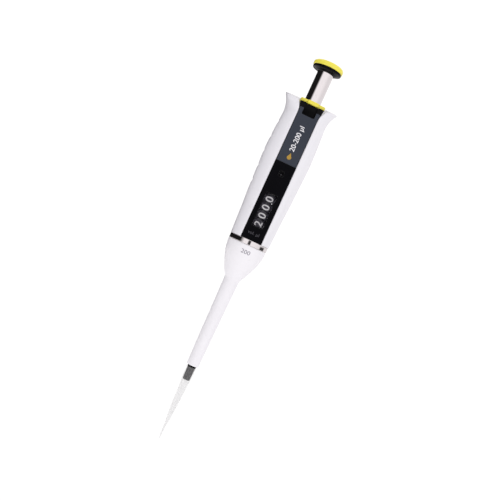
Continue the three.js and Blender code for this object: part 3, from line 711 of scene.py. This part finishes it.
def collar_rib(angle, radius, height):
    """Fine upright ribs round the collar of the tip."""
    if radius < 3.1 or not 41.0 < height < 50.2:
        return radius
    fade = smoothstep(41.0, 42.0, height) * (1 - smoothstep(49.3, 50.2, height))
    return radius + 0.09 * fade * max(0.0, math.cos(angle * 12)) ** 4 - 0.05 * fade


piece(lathe("disposable_tip", tip_profile(), TIP, 120, 50.0, collar_rib), "tip", "tip_plastic",
      "pipette_tip")

cone = [
    (1.6, 42.0), (2.25, 42.0), (2.42, 42.2), (2.62, 50.9), (2.62, 51.2), (2.3, 51.3), (2.3, 52.8),
    (2.8, 52.9), (2.8, 60.0), (1.8, 60.0), (1.8, 63.0), (0.9, 63.0), (0.9, 47.5), (1.6, 47.0),
]
piece(lathe("tip_holder", cone, CONE, 72, 30.0), "handle", "grey_plastic", "tip_cone")
cone_collar = filleted([(2.35, 51.08, 0.1), (3.0, 51.08, 0.25), (3.0, 52.6, 0.3), (2.35, 52.6, 0.1)], 4)
piece(lathe("holder_ring", cone_collar, BLACK, 72), "handle", "black_gloss", "cone_ring")

# ---------------------------------------------------------------- button and shaft
shaft = [
    (0.0, 257.2), (4.4, 257.2), (4.4, 217.4), (5.05, 217.4), (SHAFT_RADIUS, 217.8),
    (SHAFT_RADIUS, 260.6), (5.2, 260.85), (0.0, 260.9),
]
piece(lathe("bright_shaft", shaft, CHROME, 128, 40.0), "plunger", "chrome", "operating_shaft")
base = filleted([
    (0.0, 261.2, 0.0), (5.75, 261.2, 0.05), (5.75, 260.2, 0.1), (6.25, 260.3, 0.2), (7.6, 261.0, 1.0),
    (9.5, 261.6, 0.3), (9.8, 261.9, 0.2), (9.8, 263.05, 0.15), (0.0, 263.05, 0.0),
], 5)
piece(lathe("button_underside", base, BLACK, 128, 50.0), "plunger", "black_gloss", "button_base")
cap = filleted([
    (0.0, 263.12, 0.0), (BUTTON_RADIUS - 0.25, 263.12, 0.25), (BUTTON_RADIUS, 263.5, 0.3),
    (BUTTON_RADIUS, 265.4, 0.6), (9.2, 266.65, 1.1), (6.0, BUTTON_TOP, 2.4), (0.0, BUTTON_TOP, 0.0),
], 7)
piece(lathe("button_top", cap, YELLOW, 128, 50.0), "plunger", "yellow_plastic", "button_cap")

# ---------------------------------------------------------------- ejector plate, thumb block, deck
bore = [(5.8 * math.cos(a), 5.8 * math.sin(a)) for a in steps(0, 2 * math.pi, 64)[:-1]]
nose = NOTCH_HALF - 0.4
plate_outline = filleted([
    (-nose, -12.1, 0.9), (nose, -12.1, 0.9), (nose, THUMB_FRONT, 0.9), (PLATE_HALF, THUMB_FRONT, 1.6),
    (PLATE_HALF, THUMB_BACK + 1, 2.2), (-PLATE_HALF, THUMB_BACK + 1, 2.2),
    (-PLATE_HALF, THUMB_FRONT, 1.6), (-nose, THUMB_FRONT, 0.9),
], 6)
finger = plate("finger_plate", [plate_outline, bore], on_floor(PLATE_TOP), 2.4, 0.5, YELLOW, 0.5)
piece(finger, "ejector", "yellow_plastic", "ejector_plate")
block_outline = filleted([
    (-8.1, THUMB_FRONT, 1.6), (8.1, THUMB_FRONT, 1.6), (8.1, THUMB_BACK, 1.6), (2.5, THUMB_BACK, 0.3),
    (2.5, 11.4, 0.4), (-2.5, 11.4, 0.4), (-2.5, THUMB_BACK, 0.3), (-8.1, THUMB_BACK, 1.6),
], 6)
block = plate("thumb_block", [block_outline, bore], on_floor(235.95), 6.95, 0.3, BLACK, 0.3)
piece(block, "ejector", "black_gloss", "ejector_thumb")


def on_front(face):
    """A plate that stands upright, with its front face towards -Y."""
    return lambda x, height, depth: point(x, face + depth, height)


apron = rounded_rectangle(-5.6, 5.6, 226.9, 229.3, 0.3, 3)
piece(plate("thumb_apron", [apron], on_front(-10.0), 0.8, 0.15, BLACK), "ejector", "black_gloss")


def deck_outline():
    """The bowl's floor: the handle's inside outline, open at the front round the thumb block."""
    arc = [(p + n * (WALL + 0.1)) for p, n, _ in handle_outline(230.5, 80)]
    kept = [(p.x, p.y) for p in arc if p.y > -7.5]
    return kept + [
        (-8.95, kept[-1][1]), (-8.95, 9.45), (-2.9, 9.45), (-2.9, 11.8), (2.9, 11.8), (2.9, 9.45),
        (8.95, 9.45), (8.95, kept[0][1]),
    ]


piece(plate("bowl_floor", [deck_outline()], on_floor(231.4), 1.8, 0.3, GREY), "handle", "grey_plastic",
      "top_deck")

# ---------------------------------------------------------------- counter drums and their digits
def drum_profile(centre):
    low, high, shelf = centre - DRUM_HALF, centre + DRUM_HALF, centre + DRUM_HALF - 1.2
    return filleted([
        (4.2, low, 0.1), (5.6, low, 0.1), (5.6, low + 1.4, 0.1), (8.2, low + 1.4, 0.1), (8.2, low, 0.1),
        (DRUM_RADIUS, low, 0.2), (DRUM_RADIUS, shelf, 0.2), (SHELF_RADIUS, shelf, 0.1),
        (SHELF_RADIUS, high, 0.2), (4.2, high, 0.1),
    ], 3)


def round_the_drum(centre, turn):
    def place(a, b, c):
        angle = turn - b / DRUM_RADIUS
        radius = DRUM_RADIUS + c
        return point(radius * math.sin(angle), -radius * math.cos(angle), centre + a)
    return place


DIGITS = [letters(str(n), 5.3, 0.03, 0.98, 0.012) for n in range(10)]
DIGIT_SHIFT = 0.55
SHOWN = {"hundreds": 2, "tens": 0, "units": 0, "tenths": 0}
for index, (name, shown) in enumerate(SHOWN.items()):
    centre = DRUM_FIRST + index * DRUM_PITCH
    body = f"wheel_{name}"
    piece(lathe(f"drum_{name}", drum_profile(centre), DRUM, 96), body, "drum_plastic",
          f"digit_wheel_{name}")
    for k in range(10):
        place = round_the_drum(centre - DIGIT_SHIFT, -k * math.pi / 5)
        piece(printed(f"digit_{name}_{k}", DIGITS[(shown - k) % 10], place, PAINT), body,
              "drum_plastic")

# ---------------------------------------------------------------- lock
slider = filleted([
    (-3.2, 221.4, 0.7), (3.2, 221.4, 0.7), (3.2, 228.8, 0.7), (-3.2, 228.8, 0.7),
], 5)
LOCK_BACK = 16.9


def on_back(face):
    """A plate on the back, with its front face towards +Y."""
    return lambda x, height, depth: point(-x, face - depth, height)


piece(plate("lock_thumb_pad", [slider], on_back(LOCK_BACK), 1.4, 0.4, GREY, 0.15), "lock",
      "grey_plastic", "lock_slider")
for i in range(3):
    level = 223.4 + i * 1.7
    ridge = rounded_rectangle(-2.3, 2.3, level - 0.3, level + 0.3, 0.28, 4)
    piece(plate(f"lock_ridge_{i + 1}", [ridge], on_back(LOCK_BACK + 0.25), 0.4, 0.22, GREY), "lock",
          "grey_plastic")
stem = rounded_rectangle(-1.5, 1.5, 222.2, 228.2, 0.3, 3)
piece(plate("lock_stem", [stem], on_back(15.6), 2.2, 0.1, BLACK), "lock", "black_gloss")


def padlock(name, height, swing):
    """A padlock sign printed on the lock's flag: a body and a shackle, swung aside where open."""
    def place(a, b, depth):
        return point(-b, -10.23 + depth, height + a)
    body = rounded_rectangle(-0.62, 0.62, -0.8, 0.1, 0.12, 3)
    outer = [(0.46 * math.cos(a), 0.25 + 0.5 * math.sin(a)) for a in steps(0, math.pi, 10)]
    inner = [(0.27 * math.cos(a), 0.25 + 0.3 * math.sin(a)) for a in steps(math.pi, 0, 10)]
    foot = 0.12 if not swing else 0.05
    shackle = [(0.46, foot)] + outer + [(-0.46, 0.05), (-0.27, 0.05)] + inner + [(0.27, foot)]
    shackle = [(x + swing, y) for x, y in shackle]
    piece(plate(f"{name}_body", [body], place, 0.028, 0.005, DIM_PAINT), "lock", "drum_plastic")
    piece(plate(f"{name}_shackle", [shackle], place, 0.028, 0.005, DIM_PAINT), "lock", "drum_plastic")


padlock("open_sign", 187.55, 0.45)
padlock("locked_sign", 190.35, 0.0)

# ---------------------------------------------------------------- springs
# Compression springs: name, node, coil radius, wire, bottom, top, turns, joint and the joint's travel.
SPRINGS = [
    ("return_coil", "return_spring", 4.6, 0.8, 121.2, 146.8, 7, "plunger_press", 18.45),
    ("blowout_coil", "blowout_spring", 3.2, 0.7, 121.2, 128.1, 4, "plunger_press", 0.0),
    ("ejector_coil", "ejector_spring", 8.6, 0.8, 205.9, 228.8, 5, "ejector_press", 7.4),
]


def coil(name, radius, wire, bottom, top, turns, material):
    """Round wire wound evenly between two heights, with half a flat turn at each end."""
    bm = bmesh.new()
    around, along = 12, 40
    half = wire / 2
    rings = []
    for t in steps(0, 1, int((turns + 1) * along)):
        turn = t * (turns + 1)
        climb = clamp((turn - 0.5) / turns)
        height = bottom + half + (top - bottom - wire) * climb
        angle = 2 * math.pi * turn
        ring = []
        for a in steps(0, 2 * math.pi, around)[:-1]:
            out = radius + half * math.cos(a)
            ring.append(bm.verts.new(point(out * math.cos(angle), out * math.sin(angle),
                                           height + half * math.sin(a))))
        rings.append(ring)
    for low, high in zip(rings, rings[1:]):
        for i in range(around):
            j = (i + 1) % around
            bm.faces.new((low[i], low[j], high[j], high[i]))
    bm.faces.new(rings[0])
    bm.faces.new(rings[-1][::-1])
    return finish_mesh(name, bm, material, 40.0)


for name, node, radius, wire, bottom, top, turns, joint, travel in SPRINGS:
    spring = coil(name, radius, wire, bottom, top, turns, STEEL)
    piece(spring, "handle", "steel", node)
    if travel:
        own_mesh(spring)

# ---------------------------------------------------------------- materials of the CAD parts kept
CARRIED = {
    "counter_frame": GREY, "spring_seat": GREY, "lower_housing": GREY, "seal_retainer": GREY,
    "pinion_axle": STEEL, "cylinder_tube": IVORY, "piston_seal": SEAL, "cone_filter": FILTER,
    "drive_sleeve": STEEL, "push_rod": STEEL, "drive_key": STEEL, "piston": STEEL,
    "piston_head": GREY, "travel_nut": BRASS,
    "carry_pinion_units": IVORY, "carry_pinion_tens": IVORY, "carry_pinion_hundreds": IVORY,
    "ejector_bar": STEEL, "lock_link": STEEL, "lock_flag": BLACK,
}
for node, material in CARRIED.items():
    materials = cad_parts[node].data.materials
    materials.clear()
    materials.append(material)

# ---------------------------------------------------------------- stage, lights and camera
VIEW_AZIMUTH = math.radians(-4.2)
CAMERA_ROLL = math.radians(24.6)
CAMERA_DISTANCE = 0.5
CAMERA_LENS = 55.36
AIM_ACROSS, AIM_HEIGHT = 2.9, 135.8
TARGET = point(AIM_ACROSS * math.cos(VIEW_AZIMUTH), AIM_ACROSS * math.sin(VIEW_AZIMUTH), AIM_HEIGHT)
FLOOR, FLOOR_RADIUS, SWEEP, WALL_TOP = -0.262, 0.9, 0.6, 1.9


def stage_material():
    m = Nodes("studio_white", (0.3, 0.3, 0.3), 0.9, Specular_IOR_Level=0.0)
    m.tint(m.noise(3, 2), (0.28, 0.28, 0.285), 0.5)
    m.shader.inputs["Emission Color"].default_value = (1, 1, 1, 1)
    m.shader.inputs["Emission Strength"].default_value = 0.8
    return m.material


def build_cyclorama():
    """A pale floor that sweeps up into a wall all round, so that no horizon shows."""
    bm = bmesh.new()
    rows = []
    profile = [(FLOOR_RADIUS, FLOOR)]
    profile += [(FLOOR_RADIUS + SWEEP * math.sin(a), FLOOR + SWEEP * (1 - math.cos(a)))
                for a in steps(0, math.pi / 2, 12)[1:]]
    profile.append((FLOOR_RADIUS + SWEEP, WALL_TOP))
    segments = 64
    for radius, height in profile:
        rows.append([bm.verts.new((radius * math.cos(2 * math.pi * i / segments),
                                   radius * math.sin(2 * math.pi * i / segments), height))
                     for i in range(segments)])
    bm.faces.new(rows[0])
    for low, high in zip(rows, rows[1:]):
        for i in range(segments):
            j = (i + 1) % segments
            bm.faces.new((low[i], low[j], high[j], high[i]))
    obj = finish_mesh("studio_floor", bm, stage_material(), 60.0)
    obj.visible_glossy = False
    obj.visible_diffuse = False
    obj.visible_shadow = False
    return obj


build_cyclorama()

# The room that polished parts mirror. Azimuth from, to and softness in degrees, from the camera's side
# towards +X; height of the direction from, to and softness; and how dark, negative for a light.
ROOM = [
    ((-200.0, -42.0, 14.0), (-0.16, 0.38, 0.06), 0.99),
    ((-7.0, 9.0, 2.5), (-0.12, 0.165, 0.012), 0.95),
    ((72.0, 106.0, 5.0), (-0.14, 0.05, 0.03), 0.95),
    ((50.0, 220.0, 30.0), (-0.7, 0.6, 0.2), 0.17),
    ((-64.0, 54.0, 24.0), (-0.8, -0.24, 0.12), -0.1),
    ((-90.0, 90.0, 30.0), (0.3, 1.2, 0.12), 0.1),
]
ROOM_COLOR = (1.0, 0.975, 0.985, 1)
BRIGHTNESS = 1.13


def build_studio():
    """Soft light from all round, with a dark wall on the left, the camera's dark shape in front, a
    dark screen on the right, a dimmer right side and top, and a little more light from below."""
    world = bpy.data.worlds.new("studio")
    bpy.context.scene.world = world
    world.use_nodes = True
    tree = world.node_tree
    direction = tree.nodes.new("ShaderNodeTexCoord").outputs["Generated"]
    split = tree.nodes.new("ShaderNodeSeparateXYZ")
    tree.links.new(direction, split.inputs["Vector"])

    def math_node(operation, a, b):
        node = tree.nodes.new("ShaderNodeMath")
        node.operation = operation
        for socket, value in zip(node.inputs, (a, b)):
            if isinstance(value, float):
                socket.default_value = value
            else:
                tree.links.new(value, socket)
        return node.outputs["Value"]

    def ramp(source, start, end, low=0.0, high=1.0):
        node = tree.nodes.new("ShaderNodeMapRange")
        node.interpolation_type = "SMOOTHSTEP"
        tree.links.new(source, node.inputs["Value"])
        for key, value in (("From Min", start), ("From Max", end), ("To Min", low), ("To Max", high)):
            node.inputs[key].default_value = value
        return node.outputs["Result"]

    def band(source, start, end, soft):
        rise = ramp(source, start - soft, start + soft)
        fall = ramp(source, end - soft, end + soft, 1.0, 0.0)
        return math_node("MULTIPLY", rise, fall)

    height = split.outputs["Z"]
    behind = math_node("MULTIPLY", split.outputs["Y"], -1.0)
    azimuth = math_node("MULTIPLY", math_node("ARCTAN2", split.outputs["X"], behind), 180 / math.pi)
    light = ramp(height, -0.9, 0.9, 0.94, 1.06)
    for (az0, az1, az_soft), (z0, z1, z_soft), depth in ROOM:
        shade = math_node("MULTIPLY", band(azimuth, az0, az1, az_soft), band(height, z0, z1, z_soft))
        kept = math_node("SUBTRACT", 1.0, math_node("MULTIPLY", shade, depth))
        light = math_node("MULTIPLY", light, kept)
    background = tree.nodes["Background"]
    background.inputs["Color"].default_value = ROOM_COLOR
    tree.links.new(math_node("MULTIPLY", light, BRIGHTNESS), background.inputs["Strength"])


build_studio()
bpy.context.scene.view_settings.view_transform = "Standard"

camera_data = bpy.data.cameras.new("camera")
camera_data.sensor_width = 36.0
camera_data.lens = CAMERA_LENS
camera = bpy.data.objects.new("camera", camera_data)
bpy.context.scene.collection.objects.link(camera)
bpy.context.scene.camera = camera
away = Vector((math.sin(VIEW_AZIMUTH), -math.cos(VIEW_AZIMUTH), 0.0))
camera.location = TARGET + away * CAMERA_DISTANCE
aim = (TARGET - camera.location).to_track_quat("-Z", "Y").to_matrix().to_4x4()
camera.matrix_world = Matrix.Translation(camera.location) @ aim @ Matrix.Rotation(CAMERA_ROLL, 4, "Z")
